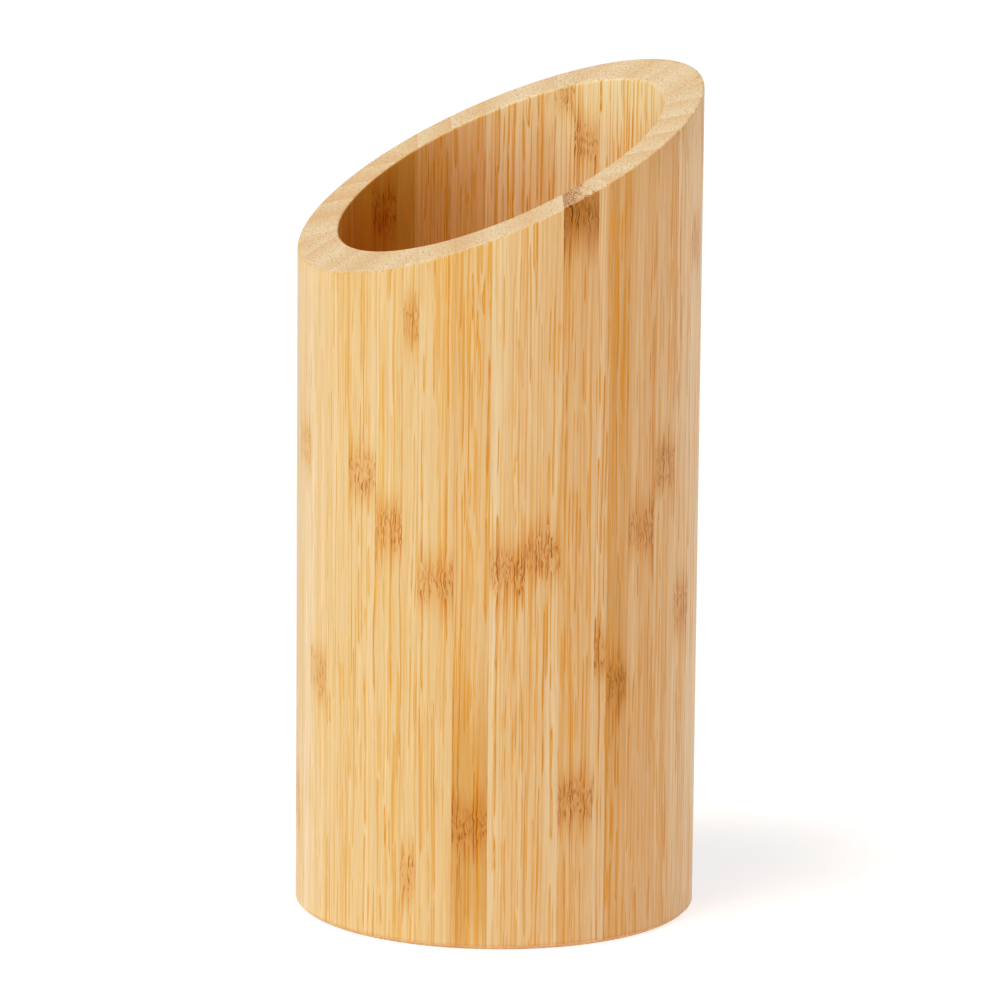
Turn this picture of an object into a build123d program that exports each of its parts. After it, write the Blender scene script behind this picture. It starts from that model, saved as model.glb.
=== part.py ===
from build123d import *
import os
from math import radians, sin, tan

# Slant-cut bamboo pen holder cup, built of the strips it is laminated from.
#
# Six flat boards of upright bamboo strips are mitred at 60 degrees, glued up into a hollow hexagon, turned
# round outside, bored inside, cut off at a slant and eased along the edges. A board of the same strips, turned
# to a disc, is glued into a rebate in the foot.
#
# Millimetres and degrees. +Z is up, the origin is the middle of the footprint, and the rim is highest at +Y.

# ---- Driving dimensions
outer_diameter = 80.0
wall = 8.0
back_height = 168.0  # foot to the rim's highest edge, at +Y, before it is eased
rim_slope = 24.6  # angle of the cut against the ground
rim_easing = 0.6  # radius worn on both edges of the rim
foot_easing = 0.8  # bevel around the outside of the foot

strip_width = 6.9  # pitch of the glue lines in every board
least_sliver = 1.5  # a narrower rest at a mitre stays on the strip beside it

base_thickness = 6.0
base_recess = 0.5  # the cup stands on its wall, with the base board held clear of the ground
rebate_ledge = 3.0  # how far the base board reaches in under the wall

# ---- Worked out from them
outer_radius = outer_diameter / 2
inner_radius = outer_radius - wall
base_radius = inner_radius + rebate_ledge
rebate_depth = base_recess + base_thickness
centre_height = back_height - outer_radius * tan(radians(rim_slope))  # rim plane on the cup's axis

# ---- The six staves: which way each one's middle faces, and where its first glue line right of the middle lies
stave_angle = 60.0
staves = {
    "front_right": (-25.0, 3.7),
    "rear_right": (35.0, 5.2),
    "rear": (95.0, 4.0),
    "rear_left": (155.0, 1.7),
    "front_left": (215.0, 1.9),
    "front": (275.0, 0.7),
}
mitre_run = tan(radians(stave_angle / 2))  # a mitre's sideways run for each millimetre outwards
half_stave = outer_radius * sin(radians(stave_angle / 2))  # from a stave's middle plane to its outer corner
clear_of_blank = outer_radius + 2  # cutting outlines end outside the turned surface
mitre_tip = clear_of_blank * mitre_run

os.makedirs("parts", exist_ok=True)


def glue_lines(first_line, half_width):
    """Where the glue lines of a board lie across it, from -half_width to half_width, leaving out slivers."""
    steps = int(2 * half_width / strip_width) + 1
    lines = (first_line + step * strip_width for step in range(-steps, steps + 1))
    return [line for line in lines if abs(line) <= half_width - least_sliver]


def stave_strip_outline(left, right):
    """Plan outline of one strip as (outward, across) points, its inner side following the stave's two mitres."""
    across = (left, 0, right) if left < 0 < right else (left, right)
    inner_side = [(abs(u) / mitre_run, u) for u in across]
    return inner_side + [(clear_of_blank + 1, right), (clear_of_blank + 1, left)]


def finish_strip(strip, name):
    """Label a finished piece and write it to its own file."""
    strip.part.label = name
    export_step(strip.part, f"parts/{name}.step")
    print(f"{name}: {strip.part.volume:.0f} mm3")


# ---- The turned wall as it leaves the lathe, before it is told apart into strips
with BuildPart() as turned_wall:
    with BuildSketch(Plane.XY):
        Circle(outer_radius)
        Circle(inner_radius, mode=Mode.SUBTRACT)
    extrude(amount=back_height)
    with BuildSketch(Plane.XY):
        Circle(base_radius)
    extrude(amount=rebate_depth, mode=Mode.SUBTRACT)
    # Everything above the slanted rim plane comes off.
    rim_plane = Plane.XY.offset(centre_height).rotated((rim_slope, 0, 0))
    split(bisect_by=rim_plane, keep=Keep.BOTTOM)
    fillet(faces().sort_by(Axis.Z)[-1].edges(), radius=rim_easing)
    foot_ring = faces().filter_by(Plane.XY).sort_by(Axis.Z)[0]
    chamfer(foot_ring.edges().sort_by(SortBy.LENGTH)[-1], length=foot_easing)

# ---- The wall's strips, stave by stave
for stave, (facing, first_line) in staves.items():
    edges = [-mitre_tip, *glue_lines(first_line, half_stave), mitre_tip]
    for number, (left, right) in enumerate(zip(edges, edges[1:]), start=1):
        with BuildPart() as wall_strip:
            add(turned_wall.part)
            with BuildSketch(Plane.XY.rotated((0, 0, facing))):
                with BuildLine():
                    Polyline(*stave_strip_outline(left, right), close=True)
                make_face()
            extrude(amount=back_height, mode=Mode.INTERSECT)
        finish_strip(wall_strip, f"{stave}_strip_{number}")

# ---- The base board's strips, which run from front to back
base_edges = [-base_radius, *glue_lines(strip_width / 2, base_radius), base_radius]
for number, (left, right) in enumerate(zip(base_edges, base_edges[1:]), start=1):
    with BuildPart() as base_strip:
        with BuildSketch(Plane.XY.offset(base_recess)):
            Circle(base_radius)
            with Locations(((left + right) / 2, 0)):
                Rectangle(right - left, 2 * base_radius, mode=Mode.INTERSECT)
        extrude(amount=base_thickness)
    finish_strip(base_strip, f"base_strip_{number}")
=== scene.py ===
"""Slant-cut bamboo pen holder cup: the looks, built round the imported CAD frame. Metres, +Z up.

Every strip of the laminated wall and base is a mesh of its own, eased by a hair's breadth along its glue
lines, and all of them wear one bamboo material. The material is solid: fibre bundles run up through each
strip, so the sides show streaks, the slanted rim shows dots, and both meet along the edges.
"""
import math
import random
from types import SimpleNamespace

import bmesh
import bpy
from mathutils import Matrix, Vector


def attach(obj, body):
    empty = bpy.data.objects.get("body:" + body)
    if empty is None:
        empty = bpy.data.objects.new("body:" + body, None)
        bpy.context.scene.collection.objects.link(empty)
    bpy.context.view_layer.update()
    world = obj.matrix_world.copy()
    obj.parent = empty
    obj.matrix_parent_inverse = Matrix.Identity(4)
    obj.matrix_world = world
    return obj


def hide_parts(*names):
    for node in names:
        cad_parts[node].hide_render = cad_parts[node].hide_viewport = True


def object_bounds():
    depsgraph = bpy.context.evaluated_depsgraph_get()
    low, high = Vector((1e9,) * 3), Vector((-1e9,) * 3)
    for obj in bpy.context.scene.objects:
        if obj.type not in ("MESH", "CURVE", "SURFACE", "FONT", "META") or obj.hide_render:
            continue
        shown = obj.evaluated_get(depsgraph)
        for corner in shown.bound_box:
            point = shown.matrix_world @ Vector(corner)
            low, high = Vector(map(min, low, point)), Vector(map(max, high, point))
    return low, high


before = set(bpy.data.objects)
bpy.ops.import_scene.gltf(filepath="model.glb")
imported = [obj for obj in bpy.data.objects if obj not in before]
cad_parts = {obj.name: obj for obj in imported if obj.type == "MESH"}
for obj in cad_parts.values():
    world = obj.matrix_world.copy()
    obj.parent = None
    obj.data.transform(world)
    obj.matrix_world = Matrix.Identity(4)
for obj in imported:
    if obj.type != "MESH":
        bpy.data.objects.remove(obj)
cad_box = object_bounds()

MM = 0.001

# ---- The cup, in millimetres, as the CAD model has it
OUTER_RADIUS = cad_box[1].x / MM
WALL = 8.0
INNER_RADIUS = OUTER_RADIUS - WALL
BACK_HEIGHT = 168.0
RIM_SLOPE = math.tan(math.radians(24.6))
RIM_HEIGHT = BACK_HEIGHT - OUTER_RADIUS * RIM_SLOPE  # on the axis
RIM_EASING = 0.6
FOOT_EASING = 0.8
BASE_RADIUS = INNER_RADIUS + 3.0
BASE_BOTTOM = 0.5
BASE_TOP = 6.5
STRIP_WIDTH = 6.9
LEAST_SLIVER = 1.5  # a narrower rest at a mitre stays on the strip beside it

HALF_STAVE = math.radians(30)
MITRE_RUN = math.tan(HALF_STAVE)
OUTER_CORNER = OUTER_RADIUS * math.sin(HALF_STAVE)  # how far across its stave the wall's mitre comes out
INNER_CORNER = INNER_RADIUS * math.sin(HALF_STAVE)
STAVES = {  # which way each stave faces, in degrees, and where its first glue line past the middle lies
    "front_right": (-25.0, 3.7),
    "rear_right": (35.0, 5.2),
    "rear": (95.0, 4.0),
    "rear_left": (155.0, 1.7),
    "front_left": (215.0, 1.9),
    "front": (275.0, 0.7),
}

# ---- How finely the meshes follow the form
ARRIS = 0.03  # easing along each glue line
COLUMN = 0.6  # spacing of the points across a strip
EASING_TURNS = 5
RIM_ROWS = 6
WALL_LEVELS = 14
BASE_ROWS = 24
NO_LENGTH = 1e-6
MERGE_DISTANCE = 1e-4
SHARP_EDGE = math.radians(35)

# ---- What single strips look like: tone 0 pale to 1 brown, contrast of the streaks, knuckle heights
CHARACTER = {
    "front_right_strip_1": (0.4, 0.7, 124, 14),
    "front_right_strip_2": (0.45, 0.7, 73),
    "front_right_strip_3": (0.55, 1.0, 25),
    "front_right_strip_4": (0.3, 0.75, 76),
    "front_right_strip_5": (0.35, 0.8, 79),
    "front_right_strip_6": (0.5, 0.85, 146, 29.5),
    "front_right_strip_7": (0.3, 0.8, 59),
    "rear_right_strip_1": (0.72, 1.05, 52),
    "rear_right_strip_2": (0.42, 0.8, 82),
    "rear_right_strip_3": (0.35, 0.8, 94),
    "rear_right_strip_4": (0.2, 0.7, 65),
    "rear_right_strip_5": (0.2, 0.7, 136),
    "front_strip_2": (0.28, 0.5, 96),
    "front_strip_3": (0.33, 0.5, 51),
    "front_strip_4": (0.4, 0.7),
    "front_strip_5": (0.4, 0.7, 93),
    "front_strip_6": (0.42, 0.8, 83),
    "rear_strip_2": (0.1, 0.9, 40),
    "rear_strip_3": (0.05, 1.0),
    "rear_strip_4": (0.0, 1.0, 88),
    "rear_strip_5": (0.0, 1.0, 21),
    "rear_strip_6": (0.15, 0.8, 150),
    "rear_strip_7": (0.0, 0.8),
    "rear_left_strip_1": (0.1, 0.8, 160),
    "rear_left_strip_2": (0.25, 0.9, 74),
    "rear_left_strip_3": (0.15, 1.0, 31),
    "rear_left_strip_4": (0.5, 0.7, 112),
    "rear_left_strip_5": (0.6, 0.6, 62),
    "rear_left_strip_6": (0.55, 0.6),
    # the four front_left strips are at the brownest tone partly for their own colour and partly as
    # painted shade, as their inner faces make the shaded left of the bore
    "front_left_strip_1": (1.0, 0.8, 96),
    "front_left_strip_2": (1.0, 0.9, 137, 12),
    "front_left_strip_3": (1.0, 0.9, 55),
    "front_left_strip_4": (0.9, 0.9, 103),
}
TONES = (0.1, 0.6)  # and the ranges for strips that the table leaves out
CONTRASTS = (0.5, 0.9)
HEIGHTS = (0, 160)
LEANS = (0.004, 0.02)  # how far the fibres lean outward or inward for each millimetre up
DRIFTS = (-0.006, 0.006)  # and how far sideways
SEEDS = (1, 40)
SCORCHED = {"front_right_strip_6": 1.0}  # how much darker the first knuckle is than most
SHADED = {  # how much browner a strip is for a hand's breadth round its first knuckle
    "front_right_strip_3": 0.55,
    "rear_right_strip_1": 0.2,
    "front_right_strip_6": 0.15,
}
NO_KNUCKLE = -500.0
chance = random.Random(7)

# ---- Colours of the bamboo
PALE = (0.84, 0.562, 0.335)
HONEY = (0.765, 0.446, 0.215)
BROWN = (0.63, 0.333, 0.11)
FIBRE = (0.74, 0.32, 0.05)
FIBRE_DARK = (0.41, 0.16, 0.022)
FIBRE_CHAR = (0.13, 0.045, 0.012)
END_GROUND = (0.92, 0.66, 0.425)
END_BROWN = (0.79, 0.495, 0.275)
END_DOT = (0.60, 0.325, 0.18)
END_CHAR = (0.25, 0.11, 0.05)
GLUE = (0.50, 0.27, 0.09)
STAIN = (0.90, 0.78, 0.56)  # this and the next three multiply what they lie over
CHAR = (0.68, 0.57, 0.4)
FOOT = (0.80, 0.66, 0.52)
# partly the paler unoiled bore, partly painted light: it brightens the bore in place of light that the
# lamps do not bring inside
BARE_AND_PAINTED_LIGHT = (1.12, 1.2, 1.2)

# ---- Sizes of the grain, in millimetres across, outward and along
RAGGED = (1.2, 3.0, 12.0)
SLOW_WANDER = (5.0, 8.0, 45.0)
OWN_WANDER = (1.1, 2.5, 16.0)
TANGLE = (1.8, 3.0, 2.6)
BANDS = (1.3, 3.0, 120.0)
LINES = (0.34, 1.2, 60.0)
FINE = (0.14, 0.3, 10.0)
SQUIGGLES = (0.45, 2.5, 5.0)
RIDGES = (0.2, 0.4, 14.0)
SEED_STEPS = (13.7, 5.3, 9.1)  # how far apart the noise of two strips is read, for each direction
SLOW_SWING = (1.2, 1.8)  # how far the noise moves the fibres across and outward
OWN_SWING = (0.35, 1.4)
TANGLE_SWING = 1.1
BUNDLE_PITCH = (0.78, 0.75)
BUNDLE_RADIUS = 0.34  # in pitches
BUNDLE_STEPS = (31.0, 17.0)  # how far apart the bundles of two strips are read
CROWDING = 0.5  # how much denser the bundles are on the skin side
PORES_PER_BUNDLE = 1.7
PORE_PITCH = 0.46
PORE_STEPS = (23.0, 11.0)
RANDOMNESS = 0.85  # of the bundles' and pores' places
KNUCKLE_RAGGED = 7.0
RIDGE_HEIGHT = 0.03

# ---- Where each mark starts to show, and where it shows in full. First come distances, in millimetres
KNUCKLE_CORE = (4.6, 2.2)  # from a knuckle's height, for its tangle
KNUCKLE_TAIL = (12.0, 2.5)
SHADE_REACH = (38.0, 4.0)
GLUE_SEEN = (0.16, 0.02)
FOOT_SEEN = (1.4, 0.3)
BARE_AND_PAINTED_LIGHT_DEPTH = (0.35, 0.1)  # behind the bore, for the bore's paleness and its painted light
SCAR_SEEN = (0.6, 0.1)
BUNDLE_SEEN = (1.08, 0.75)  # in radii of a bundle, like the next two
VESSEL_SEEN = (0.55, 0.2)
BUNDLE_DOT = (1.15, 0.6)
PORE_DOT = (0.5, 0.2)  # in pitches
LINE_SEEN = (0.05, 0.13)  # in strength of the noise, like the next one
SQUIGGLE_SEEN = (0.06, 0.01)
END_SEEN = (0.45, 0.85)  # how squarely a face looks up or down

# ---- The studio
KEY_BEARING = 282.0
FLOOR_GLOW = 0.78
FLOOR_GREY = 0.5
FLOOR_RADIUS = 4.0
FLOOR_GAP = 0.02 * MM
CEILING = (0.05, 1.15)  # its least brightness, and how much the key light's side adds
CEILING_TURN = (0.0, 0.9)
HORIZON = 0.36
HORIZON_EDGE = (0.42, 0.12)  # this high up the horizon starts to show, and is there in full
BACKDROP = 1.1
BACKDROP_EDGE = (0.09, 0.05)
WHITE = (1.0, 1.0, 1.0, 1.0)
TONE_CURVE = (  # light in the scene, and how bright it is shown
    (0.03, 0.009),
    (0.12, 0.088),
    (0.22, 0.188),
    (0.3, 0.272),
    (0.45, 0.443),
    (0.6, 0.605),
    (0.88, 0.815),
    (0.98, 0.865),
)
WHITE_POINT = 1.08
BRIGHTEST = 2.0  # where the tone curve's axes end
ALL_COLOURS = 3  # the curve that works on red, green and blue alike
VIEW_AZIMUTH = 62.5
VIEW_DISTANCE = 1.2398
VIEW_HEIGHT = 0.33165
VIEW_PITCH = 11.39
VIEW_ROLL = 0.537
VIEW_YAW = 0.023
VIEW_LENS = 228.37
VIEW_SENSOR = 36.0
VIEW_RANGE = (0.05, 100.0)


# ---- Meshes
def glue_lines(first_line, half_width):
    """Where the glue lines of a board lie across it, leaving out slivers at its edges."""
    steps = int(2 * half_width / STRIP_WIDTH) + 1
    lines = (first_line + step * STRIP_WIDTH for step in range(-steps, steps + 1))
    return [line for line in lines if abs(line) <= half_width - LEAST_SLIVER]


def spread(start, end, spacing):
    """Evenly spaced values from start to end, both included."""
    count = max(1, round(abs(end - start) / spacing))
    return [start + (end - start) * step / count for step in range(count + 1)]


def loft(loops):
    """A closed mesh through loops of the same number of points, capped at both ends."""
    mesh = bmesh.new()
    rings = [[mesh.verts.new(point) for point in loop] for loop in loops]
    for ring, after in zip(rings, rings[1:]):
        for i in range(len(ring)):
            j = (i + 1) % len(ring)
            mesh.faces.new((ring[i], ring[j], after[j], after[i]))
    mesh.faces.new(reversed(rings[0]))
    mesh.faces.new(rings[-1])
    bmesh.ops.remove_doubles(mesh, verts=mesh.verts, dist=MERGE_DISTANCE)
    bmesh.ops.dissolve_degenerate(mesh, edges=mesh.edges, dist=MERGE_DISTANCE)
    bmesh.ops.triangulate(mesh, faces=[face for face in mesh.faces if len(face.verts) > 4])
    bmesh.ops.recalc_face_normals(mesh, faces=mesh.faces)
    return mesh


def eased_drop(gap, easing):
    """How far a rounded edge lies below the sharp one at this distance from the wall."""
    return easing - math.sqrt(easing ** 2 - (easing - gap) ** 2) if gap < easing else 0.0


def rim_rows(depth):
    """How far from the inner wall the rim profile's points lie, closer together where it is eased."""
    turns = [math.radians(90) * step / EASING_TURNS for step in range(1, EASING_TURNS + 1)]
    rounded = [RIM_EASING * (1 - math.cos(turn)) for turn in turns]
    easing_share = min(1.0, depth / (3 * RIM_EASING))
    near = [row * easing_share for row in rounded]
    flat = [near[-1] + (depth - 2 * near[-1]) * row / RIM_ROWS for row in range(1, RIM_ROWS)]
    return near + flat + [depth - row for row in reversed(near)]


def wall_column(inner, outer, facing, groove):
    """An upright profile of the wall between two points in plan, as a closed loop."""
    inward = (inner - outer).normalized() if (inner - outer).length > NO_LENGTH else Vector((0, -1))
    depth = (outer - inner).length
    turn = Matrix.Rotation(facing, 2)

    def rim_level(point):
        """Height of the rim over a point in plan, with its edges eased."""
        level = RIM_HEIGHT + RIM_SLOPE * (turn @ Vector((point.y, point.x))).y - groove
        level -= eased_drop(max(0.0, OUTER_RADIUS - groove - point.length), RIM_EASING)
        return level - eased_drop(max(0.0, point.length - INNER_RADIUS - groove), RIM_EASING)

    ledge = inner
    if inner.length < BASE_RADIUS:
        ledge = inner - inward * min(depth, BASE_RADIUS - inner.length)
    inner_top = rim_level(inner)
    outer_top = rim_level(outer)
    loop = [(ledge, 0.0), (ledge, BASE_TOP), (inner, BASE_TOP)]
    for level in range(1, WALL_LEVELS + 1):
        loop.append((inner, BASE_TOP + (inner_top - BASE_TOP) * level / WALL_LEVELS))
    for row in rim_rows(depth)[:-1]:
        point = inner - inward * row
        loop.append((point, rim_level(point)))
    for level in range(WALL_LEVELS, -1, -1):
        loop.append((outer, FOOT_EASING + (outer_top - FOOT_EASING) * level / WALL_LEVELS))
    loop.append((outer + inward * min(depth, FOOT_EASING), 0.0))
    return [Vector((point.x, point.y, level)) for point, level in loop]


def inner_wall_at(across):
    """How far out a strip's inner side lies: on the bore, or on the mitre where that is further out."""
    bore = math.sqrt(max(0.0, INNER_RADIUS ** 2 - across ** 2))
    return max(bore, abs(across) / MITRE_RUN)


def column_shares(width):
    """How far across a strip its columns of points lie, as shares of its width."""
    return {0.0, ARRIS / width, 1 - ARRIS / width, 1.0, *spread(0.0, 1.0, COLUMN / width)}


def arris_depth(share, width):
    """How deep the easing along the glue lines is, this share of the way across a strip."""
    return max(0.0, ARRIS - min(share, 1 - share) * width)


def wall_strip(left, right, facing):
    """Mesh of one wall strip. left and right are its edges across the stave, None at a mitre."""
    outer_edges = (-OUTER_CORNER if left is None else left, OUTER_CORNER if right is None else right)
    inner_edges = (
        min(-INNER_CORNER, right) if left is None else left,
        max(INNER_CORNER, left) if right is None else right,
    )
    width = outer_edges[1] - outer_edges[0]
    shares = column_shares(width)
    for corner in (-INNER_CORNER, INNER_CORNER):
        if inner_edges[0] < corner < inner_edges[1]:
            shares.add((corner - inner_edges[0]) / (inner_edges[1] - inner_edges[0]))
    loops = []
    for share in sorted(shares):
        across_in = inner_edges[0] + (inner_edges[1] - inner_edges[0]) * share
        across_out = outer_edges[0] + (outer_edges[1] - outer_edges[0]) * share
        groove = arris_depth(share, width)
        inner = Vector((across_in, inner_wall_at(across_in)))
        if abs(across_in) <= INNER_CORNER:
            inner *= (INNER_RADIUS + groove) / INNER_RADIUS
        outer = Vector((across_out, math.sqrt(OUTER_RADIUS ** 2 - across_out ** 2)))
        outer *= (OUTER_RADIUS - groove) / OUTER_RADIUS
        loops.append(wall_column(inner, outer, facing, groove))
    return loft(loops)


def base_strip(left, right):
    """Mesh of one strip of the round base board, as (across, upward, along)."""
    width = right - left
    loops = []
    for share in sorted(column_shares(width)):
        across = left + width * share
        half = math.sqrt(max(0.0, BASE_RADIUS ** 2 - across ** 2))
        groove = arris_depth(share, width)
        rows = [half * (2 * row / BASE_ROWS - 1) for row in range(BASE_ROWS + 1)]
        loop = [Vector((across, BASE_TOP - groove, row)) for row in rows]
        loop += [Vector((across, BASE_BOTTOM + groove, row)) for row in reversed(rows)]
        loops.append(loop)
    return loft(loops)


def add_piece(node, mesh, place):
    """A strip's object. Its mesh keeps each point's place across, outward and along the grain."""
    data = bpy.data.meshes.new("bamboo_" + node)
    mesh.to_mesh(data)
    mesh.free()
    grain = data.attributes.new("grain", "FLOAT_VECTOR", "POINT")
    grain.data.foreach_set("vector", [part for vertex in data.vertices for part in vertex.co])
    data.transform(Matrix.Scale(MM, 4) @ place)
    if place.to_3x3().determinant() < 0:
        data.flip_normals()
    data.shade_smooth()
    data.set_sharp_from_angle(angle=SHARP_EDGE)
    piece = bpy.data.objects.new("bamboo_" + node, data)
    bpy.context.scene.collection.objects.link(piece)
    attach(piece, "root")
    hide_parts(node)
    return piece


# ---- The bamboo
class Wire:
    """A value in a node tree. Arithmetic on it adds Math nodes."""

    def __init__(self, tree, socket):
        self.tree = tree
        self.socket = socket

    def maths(self, operation, *others, clamp=False):
        node = self.tree.nodes.new("ShaderNodeMath")
        node.operation = operation
        node.use_clamp = clamp
        for pin, value in zip(node.inputs, (self, *others)):
            plug(self.tree, value, pin)
        return Wire(self.tree, node.outputs[0])

    def __add__(self, other):
        return self.maths("ADD", other)

    def __sub__(self, other):
        return self.maths("SUBTRACT", other)

    def __mul__(self, other):
        return self.maths("MULTIPLY", other)

    def __truediv__(self, other):
        return self.maths("DIVIDE", other)

    def clamped(self):
        return self.maths("ADD", 0.0, clamp=True)

    def step(self, low, high):
        """0 below low, 1 above high and smooth between, or the other way round if low is the larger."""
        node = self.tree.nodes.new("ShaderNodeMapRange")
        node.interpolation_type = "SMOOTHSTEP"
        plug(self.tree, self, node.inputs["Value"])
        plug(self.tree, low, node.inputs["From Min"])
        plug(self.tree, high, node.inputs["From Max"])
        return Wire(self.tree, node.outputs["Result"])


def plug(tree, value, pin):
    """Gives a node's input a wire or a plain value."""
    if isinstance(value, Wire):
        tree.links.new(value.socket, pin)
    else:
        pin.default_value = value


def attribute(tree, name, kind, output="Fac"):
    """A mesh attribute, or a property of the object that wears the material."""
    node = tree.nodes.new("ShaderNodeAttribute")
    node.attribute_type = kind
    node.attribute_name = name
    return Wire(tree, node.outputs[output])


def apart(tree, vector):
    """The three parts of a vector."""
    node = tree.nodes.new("ShaderNodeSeparateXYZ")
    plug(tree, vector, node.inputs[0])
    return [Wire(tree, output) for output in node.outputs]


def together(tree, x, y, z=0.0):
    """A vector of three values."""
    node = tree.nodes.new("ShaderNodeCombineXYZ")
    for pin, value in zip(node.inputs, (x, y, z)):
        plug(tree, value, pin)
    return Wire(tree, node.outputs[0])


def noise(tree, place, detail, roughness, output="Fac"):
    """Smooth noise at a place."""
    node = tree.nodes.new("ShaderNodeTexNoise")
    node.inputs["Scale"].default_value = 1.0
    node.inputs["Detail"].default_value = detail
    node.inputs["Roughness"].default_value = roughness
    plug(tree, place, node.inputs["Vector"])
    return Wire(tree, node.outputs[output])


def voronoi(tree, x, y):
    """Cells strewn over a plane: how far the nearest one's middle is, and that cell's random share."""
    node = tree.nodes.new("ShaderNodeTexVoronoi")
    node.voronoi_dimensions = "2D"
    node.inputs["Scale"].default_value = 1.0
    node.inputs["Randomness"].default_value = RANDOMNESS
    plug(tree, together(tree, x, y), node.inputs["Vector"])
    return Wire(tree, node.outputs["Distance"]), apart(tree, Wire(tree, node.outputs["Color"]))[0]


MIX_FIRST, MIX_SECOND, MIX_RESULT = 6, 7, 2  # where a Mix node keeps its colours


def blend(tree, share, first, second, mode="MIX"):
    """A colour between two others."""
    node = tree.nodes.new("ShaderNodeMix")
    node.data_type = "RGBA"
    node.blend_type = mode
    plug(tree, share, node.inputs[0])
    for pin, value in ((MIX_FIRST, first), (MIX_SECOND, second)):
        plug(tree, value if isinstance(value, Wire) else (*value, 1.0), node.inputs[pin])
    return Wire(tree, node.outputs[MIX_RESULT])


PROPERTIES = (
    "left", "width", "skin_right", "tone", "contrast", "scorch", "shade", "lean", "drift", "seed",
    "knuckle_1", "knuckle_2", "upright",
)


def read_strip(tree):
    """The strip being shaded: its properties, and the point's place in it, in millimetres."""
    strip = SimpleNamespace(**{name: attribute(tree, name, "OBJECT") for name in PROPERTIES})
    strip.tree = tree
    strip.straight = apart(tree, attribute(tree, "grain", "GEOMETRY", "Vector"))
    strip.across, strip.outward, strip.along = strip.straight
    return strip


def read_noise(strip, point, grain, detail, roughness, output):
    """Noise at a point of a strip, its grains this long across, outward and along."""
    place = (part / size + strip.seed * step for part, size, step in zip(point, grain, SEED_STEPS))
    return noise(strip.tree, together(strip.tree, *place), detail, roughness, output)


def field(strip, point, grain, detail=1.0, roughness=0.5):
    """One noise, from -0.5 to 0.5."""
    return read_noise(strip, point, grain, detail, roughness, "Fac") - 0.5


def fields(strip, point, grain):
    """Three noises that go their own ways, from -0.5 to 0.5."""
    return [part - 0.5 for part in apart(strip.tree, read_noise(strip, point, grain, 1.0, 0.5, "Color"))]


def find_knuckles(strip):
    """How near the knuckles are: fibres tangle there for a few millimetres, with tails both ways."""
    ragged = field(strip, strip.straight, RAGGED) * KNUCKLE_RAGGED
    heights = (strip.knuckle_1, strip.knuckle_2)
    gap_1, gap_2 = ((strip.along - height + ragged).maths("ABSOLUTE") for height in heights)
    gap = gap_1.maths("MINIMUM", gap_2)
    strip.core = gap.step(*KNUCKLE_CORE)
    strip.tail = gap.step(*KNUCKLE_TAIL)
    strip.scorched_core = gap_1.step(*KNUCKLE_CORE) * strip.scorch
    strip.scorched_tail = gap_1.step(*KNUCKLE_TAIL) * strip.scorch
    strip.shaded = gap_1.step(*SHADE_REACH) * strip.shade
    second = (gap_2 - gap_1).step(0.0, -0.1)
    strip.knuckle = strip.knuckle_1 + second * (strip.knuckle_2 - strip.knuckle_1)


def bend_fibres(strip):
    """The fibres wander a little, each bundle in its own way, so the surface cuts in and out of them."""
    strip.slow = fields(strip, strip.straight, SLOW_WANDER)
    strip.own = fields(strip, strip.straight, OWN_WANDER)
    tangled = [part * strip.core * TANGLE_SWING for part in fields(strip, strip.straight, TANGLE)]
    across = strip.across + strip.drift * strip.along
    across = across + strip.slow[0] * SLOW_SWING[0] + strip.own[0] * OWN_SWING[0] + tangled[0]
    outward = strip.outward + strip.lean * strip.along
    outward = outward + strip.slow[1] * SLOW_SWING[1] + strip.own[1] * OWN_SWING[1] + tangled[1]
    strip.bent = (across, outward, strip.along)


def find_bundles(strip):
    """Fibre bundles, crowding towards the side that was the cane's skin, and the pores between."""
    across, outward, _ = strip.bent
    share = (across - strip.left) / strip.width
    strip.from_skin = share + strip.skin_right - share * strip.skin_right * 2.0
    pitch_across, pitch_outward = BUNDLE_PITCH
    crowded = strip.from_skin * (1 + CROWDING) - strip.from_skin * strip.from_skin * CROWDING
    crowded = crowded * strip.width / pitch_across
    distance, strip.bundle_chance = voronoi(
        strip.tree,
        crowded + strip.seed * BUNDLE_STEPS[0],
        outward / pitch_outward + strip.seed * BUNDLE_STEPS[1],
    )
    strip.reach = distance / (strip.from_skin * -0.12 + BUNDLE_RADIUS - strip.core * 0.08)
    strip.bundle = strip.reach.step(*BUNDLE_SEEN)
    strip.vessel = strip.reach.step(*VESSEL_SEEN) * (strip.core * -1.0 + 1.0)
    strip.pore, _ = voronoi(
        strip.tree,
        crowded * PORES_PER_BUNDLE + strip.seed * PORE_STEPS[0],
        outward / PORE_PITCH + strip.seed * PORE_STEPS[1],
    )


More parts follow.
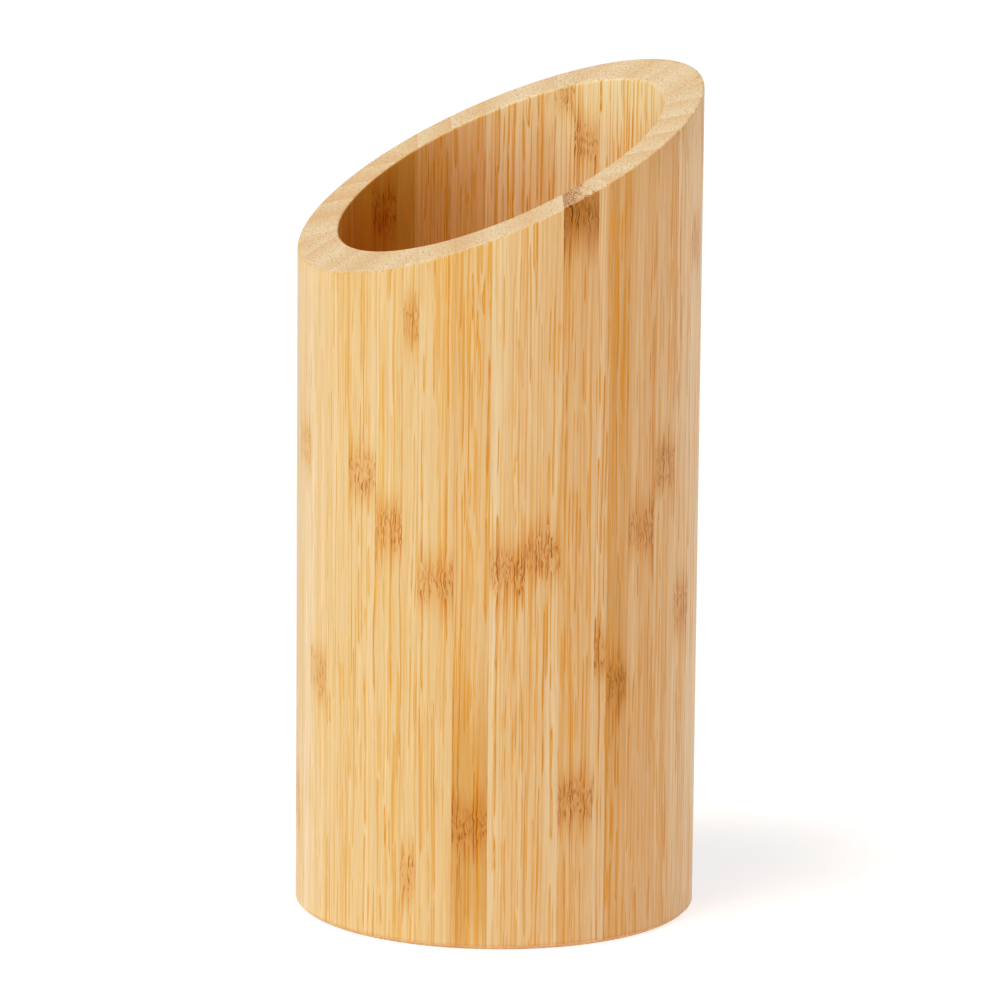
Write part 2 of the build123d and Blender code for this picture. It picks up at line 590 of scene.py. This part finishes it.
def side_colour(strip):
    """The colour along the grain: ground tissue in faint bands and lines, streaked by the bundles."""
    tree = strip.tree
    strip.bands = field(strip, strip.bent, BANDS, detail=2.0)
    strip.fine = field(strip, strip.bent, FINE, detail=2.0, roughness=0.6)
    lines = field(strip, strip.bent, LINES).step(*LINE_SEEN)
    bold = strip.contrast * (strip.slow[2] * 2.0 + 1.05)
    hue = strip.tone + strip.bands * 0.9 + strip.shaded
    strip.hue = (hue + strip.from_skin * -0.12 + strip.core * 0.12 + 0.06).clamped()
    ground = blend(tree, strip.hue.step(0.0, 0.5), PALE, HONEY)
    ground = blend(tree, strip.hue.step(0.5, 1.0), ground, BROWN)
    ground = blend(tree, (lines * bold * 0.7).clamped(), ground, FIBRE)

    dark = strip.tail * 0.3 + strip.core * 0.4 + strip.bundle_chance * 0.35 + strip.shaded * 0.9 - 0.05
    fibre = blend(tree, dark.clamped(), FIBRE, FIBRE_DARK)
    fibre = blend(tree, strip.scorched_core * 0.9, fibre, FIBRE_CHAR)
    bundle_share = strip.bundle * bold * (strip.bundle_chance * 0.6 + 0.62 + strip.tail * 0.2)
    colour = blend(tree, bundle_share.clamped(), ground, fibre)
    return blend(tree, strip.vessel * 0.5, colour, ground)


def mark_knuckles(strip, colour):
    """Draws squiggles and a scar into each knuckle, and stains it."""
    squiggle = field(strip, strip.bent, SQUIGGLES).maths("ABSOLUTE").step(*SQUIGGLE_SEEN) * strip.core
    scar_gap = strip.along - strip.knuckle + strip.slow[1] * 3.0 + strip.own[0] * 4.0 - 1.0
    scar = scar_gap.maths("ABSOLUTE").step(*SCAR_SEEN) * strip.core * (strip.own[2] * 3.0 + 0.3)
    squiggle = squiggle.maths("MAXIMUM", scar.clamped())
    stain = (strip.tail * strip.tail * (strip.slow[2] + 0.75)).clamped()
    colour = blend(strip.tree, (squiggle * strip.contrast * 0.7).clamped(), colour, FIBRE_DARK)
    colour = blend(strip.tree, stain, colour, STAIN, "MULTIPLY")
    return blend(strip.tree, strip.scorched_tail * 0.8, colour, CHAR, "MULTIPLY")


def add_glue_lines(strip, colour):
    """Darkens the edges where two strips meet."""
    share = (strip.across - strip.left) / strip.width
    to_edge = share.maths("MINIMUM", share * -1.0 + 1.0) * strip.width
    glue = to_edge.step(*GLUE_SEEN) * (strip.bands + 0.5) * 0.3
    return blend(strip.tree, glue.clamped(), colour, GLUE)


def end_colour(strip):
    """The colour across the grain, where the rim or the foot cuts the bundles into dots."""
    tree = strip.tree
    tone = strip.hue * 0.45 + strip.from_skin * -0.7 + 0.55
    colour = blend(tree, tone.clamped(), END_GROUND, END_BROWN)
    scorched = strip.scorched_core * 0.7 + strip.core * 0.15
    bundle_dot = strip.reach.step(*BUNDLE_DOT) * (strip.bundle_chance * 0.3 + 0.2)
    pore_dot = strip.pore.step(*PORE_DOT) * (strip.bundle_chance * 0.3 + 0.35)
    dot = (bundle_dot + pore_dot) * (strip.core * 0.3 + scorched * 0.3 + 1.0) + scorched * 0.3
    return blend(tree, dot.clamped(), colour, blend(tree, scorched, END_DOT, END_CHAR))


def bamboo():
    """Side-pressed bamboo, solid through each strip, with a thin satin finish."""
    material = bpy.data.materials.new("bamboo")
    material.use_nodes = True
    tree = material.node_tree
    tree.nodes.clear()
    strip = read_strip(tree)
    find_knuckles(strip)
    bend_fibres(strip)
    find_bundles(strip)

    colour = mark_knuckles(strip, side_colour(strip))
    lightness = strip.fine * 0.42 + 1.0
    colour = blend(tree, 1.0, colour, together(tree, lightness, lightness, lightness), "MULTIPLY")
    colour = add_glue_lines(strip, colour)
    geometry = tree.nodes.new("ShaderNodeNewGeometry")
    upward = apart(tree, Wire(tree, geometry.outputs["Normal"]))[2].maths("ABSOLUTE")
    end = upward.step(*END_SEEN) * strip.upright
    colour = blend(tree, end, colour, end_colour(strip))

    # The wall is darker at its foot, over its lowest 1.4 mm and most at the very bottom.
    foot = strip.along.step(*FOOT_SEEN) * strip.upright
    colour = blend(tree, foot, colour, FOOT, "MULTIPLY")

    # The bore is left bare, so it is paler and yellower than the oiled outside, and it is brightened
    # further as painted light, for light that does not reach inside the cup.
    from_axis = (strip.across * strip.across + strip.outward * strip.outward).maths("SQRT") - INNER_RADIUS
    colour = blend(tree, from_axis.step(*BARE_AND_PAINTED_LIGHT_DEPTH), colour, blend(tree, 1.0, colour, BARE_AND_PAINTED_LIGHT, "MULTIPLY"))

    shader = tree.nodes.new("ShaderNodeBsdfPrincipled")
    output = tree.nodes.new("ShaderNodeOutputMaterial")
    bump = tree.nodes.new("ShaderNodeBump")
    bump.inputs["Distance"].default_value = RIDGE_HEIGHT * MM
    bump.inputs["Strength"].default_value = 0.6
    plug(tree, field(strip, strip.straight, RIDGES), bump.inputs["Height"])
    plug(tree, colour, shader.inputs["Base Color"])
    plug(tree, strip.bundle * 0.08 + strip.fine * 0.12 + 0.46 + end * 0.15, shader.inputs["Roughness"])
    shader.inputs["Specular IOR Level"].default_value = 0.35
    tree.links.new(bump.outputs[0], shader.inputs["Normal"])
    tree.links.new(shader.outputs[0], output.inputs["Surface"])
    return material


def dress(piece, node, left, right, upright):
    """Gives a strip its material and the properties that make it look like no other strip."""
    look_alike = (chance.uniform(*TONES), chance.uniform(*CONTRASTS), chance.uniform(*HEIGHTS))
    tone, contrast, *knuckles = CHARACTER.get(node, look_alike)
    knuckle_1, knuckle_2, *_ = (*knuckles, NO_KNUCKLE, NO_KNUCKLE)
    values = {
        "left": left,
        "width": right - left,
        "skin_right": chance.random() < 0.5,
        "tone": tone,
        "contrast": contrast,
        "scorch": SCORCHED.get(node, 0.0),
        "shade": SHADED.get(node, 0.0),
        "lean": chance.choice((-1, 1)) * chance.uniform(*LEANS),
        "drift": chance.uniform(*DRIFTS),
        "seed": chance.uniform(*SEEDS),
        "knuckle_1": knuckle_1,
        "knuckle_2": knuckle_2,
        "upright": upright,
    }
    for name in PROPERTIES:
        piece[name] = float(values[name])
    piece.data.materials.append(bamboo_finish)


bamboo_finish = bamboo()
ACROSS_OUTWARD_UP = Matrix(((0, 1, 0, 0), (1, 0, 0, 0), (0, 0, 1, 0), (0, 0, 0, 1)))
for stave, (facing, first_line) in STAVES.items():
    turned = math.radians(facing)
    edges = [None, *glue_lines(first_line, OUTER_CORNER), None]
    for number, (left, right) in enumerate(zip(edges, edges[1:]), start=1):
        node = f"{stave}_strip_{number}"
        place = Matrix.Rotation(turned, 4, "Z") @ ACROSS_OUTWARD_UP
        piece = add_piece(node, wall_strip(left, right, turned), place)
        near = -OUTER_CORNER if left is None else left
        far = OUTER_CORNER if right is None else right
        dress(piece, node, near, far, upright=True)

LYING = Matrix(((1, 0, 0, 0), (0, 0, 1, 0), (0, 1, 0, 0), (0, 0, 0, 1)))
edges = [-BASE_RADIUS, *glue_lines(STRIP_WIDTH / 2, BASE_RADIUS), BASE_RADIUS]
for number, (left, right) in enumerate(zip(edges, edges[1:]), start=1):
    node = f"base_strip_{number}"
    piece = add_piece(node, base_strip(left, right), LYING)
    dress(piece, node, left, right, upright=False)


# ---- Stage, lights and camera
def add_floor():
    """A wide white light table just under the foot."""
    material = bpy.data.materials.new("floor")
    material.use_nodes = True
    shader = material.node_tree.nodes["Principled BSDF"]
    shader.inputs["Base Color"].default_value = (FLOOR_GREY, FLOOR_GREY, FLOOR_GREY, 1.0)
    shader.inputs["Roughness"].default_value = 0.6
    shader.inputs["Emission Color"].default_value = WHITE
    shader.inputs["Emission Strength"].default_value = FLOOR_GLOW
    data = bpy.data.meshes.new("floor")
    mesh = bmesh.new()
    bmesh.ops.create_circle(mesh, cap_ends=True, radius=FLOOR_RADIUS, segments=96)
    mesh.to_mesh(data)
    mesh.free()
    floor = bpy.data.objects.new("floor", data)
    floor.location.z = -FLOOR_GAP
    floor.data.materials.append(material)
    bpy.context.scene.collection.objects.link(floor)


def add_light(name, bearing, elevation, distance, size, power):
    """A square soft light that looks at the cup's middle, its bearing and elevation in degrees."""
    data = bpy.data.lights.new(name, "AREA")
    data.size = size
    data.energy = power
    light = bpy.data.objects.new(name, data)
    turn, rise = math.radians(bearing), math.radians(elevation)
    away = Vector((math.cos(turn) * math.cos(rise), math.sin(turn) * math.cos(rise), math.sin(rise)))
    light.location = Vector((0, 0, RIM_HEIGHT * MM / 2)) + away * distance
    light.rotation_mode = "QUATERNION"
    light.rotation_quaternion = away.to_track_quat("Z", "Y")
    bpy.context.scene.collection.objects.link(light)


def add_world():
    """A white horizon all round, under a ceiling that is brighter on the key light's side."""
    world = bpy.data.worlds.new("studio")
    world.use_nodes = True
    tree = world.node_tree
    place = tree.nodes.new("ShaderNodeTexCoord")
    x, y, z = apart(tree, Wire(tree, place.outputs["Generated"]))
    bearing = math.radians(KEY_BEARING)
    towards_key = x * math.cos(bearing) + y * math.sin(bearing)
    dimmest, brighter = CEILING
    ceiling = towards_key.step(*CEILING_TURN) * brighter + dimmest
    horizon = z.step(*HORIZON_EDGE)
    backdrop = z.step(*BACKDROP_EDGE) * (BACKDROP - HORIZON)
    light = ceiling + horizon * (ceiling * -1.0 + HORIZON) + backdrop
    plug(tree, light, tree.nodes["Background"].inputs["Strength"])
    tree.nodes["Background"].inputs["Color"].default_value = WHITE
    bpy.context.scene.world = world


def add_camera():
    """The camera, a long lens a little above the rim."""
    data = bpy.data.cameras.new("camera")
    data.sensor_width = VIEW_SENSOR
    data.lens = VIEW_LENS
    data.clip_start, data.clip_end = VIEW_RANGE
    camera = bpy.data.objects.new("camera", data)
    camera.matrix_world = (
        Matrix.Rotation(math.radians(VIEW_AZIMUTH), 4, "Z")
        @ Matrix.Translation((0.0, -VIEW_DISTANCE, VIEW_HEIGHT))
        @ Matrix.Rotation(math.radians(-VIEW_YAW), 4, "Z")
        @ Matrix.Rotation(math.radians(90 - VIEW_PITCH), 4, "X")
        @ Matrix.Rotation(math.radians(VIEW_ROLL), 4, "Z")
    )
    bpy.context.scene.collection.objects.link(camera)
    bpy.context.scene.camera = camera


def add_tone_curve():
    """Deep shadows inside the cup, and highlights that flatten off."""
    view = bpy.context.scene.view_settings
    view.view_transform = "Standard"
    view.use_curve_mapping = True
    curve = view.curve_mapping.curves[ALL_COLOURS]
    view.curve_mapping.clip_max_x = BRIGHTEST
    view.curve_mapping.clip_max_y = BRIGHTEST
    for light, shown in TONE_CURVE:
        curve.points.new(light, shown)
    curve.points[-1].location = (WHITE_POINT, 1.0)
    view.curve_mapping.update()


add_floor()
add_camera()
add_world()
add_light("key", bearing=KEY_BEARING, elevation=64.0, distance=6.4, size=3.6, power=258.0)
add_light("fill", bearing=115.0, elevation=35.0, distance=6.4, size=4.0, power=90.0)
add_tone_curve()
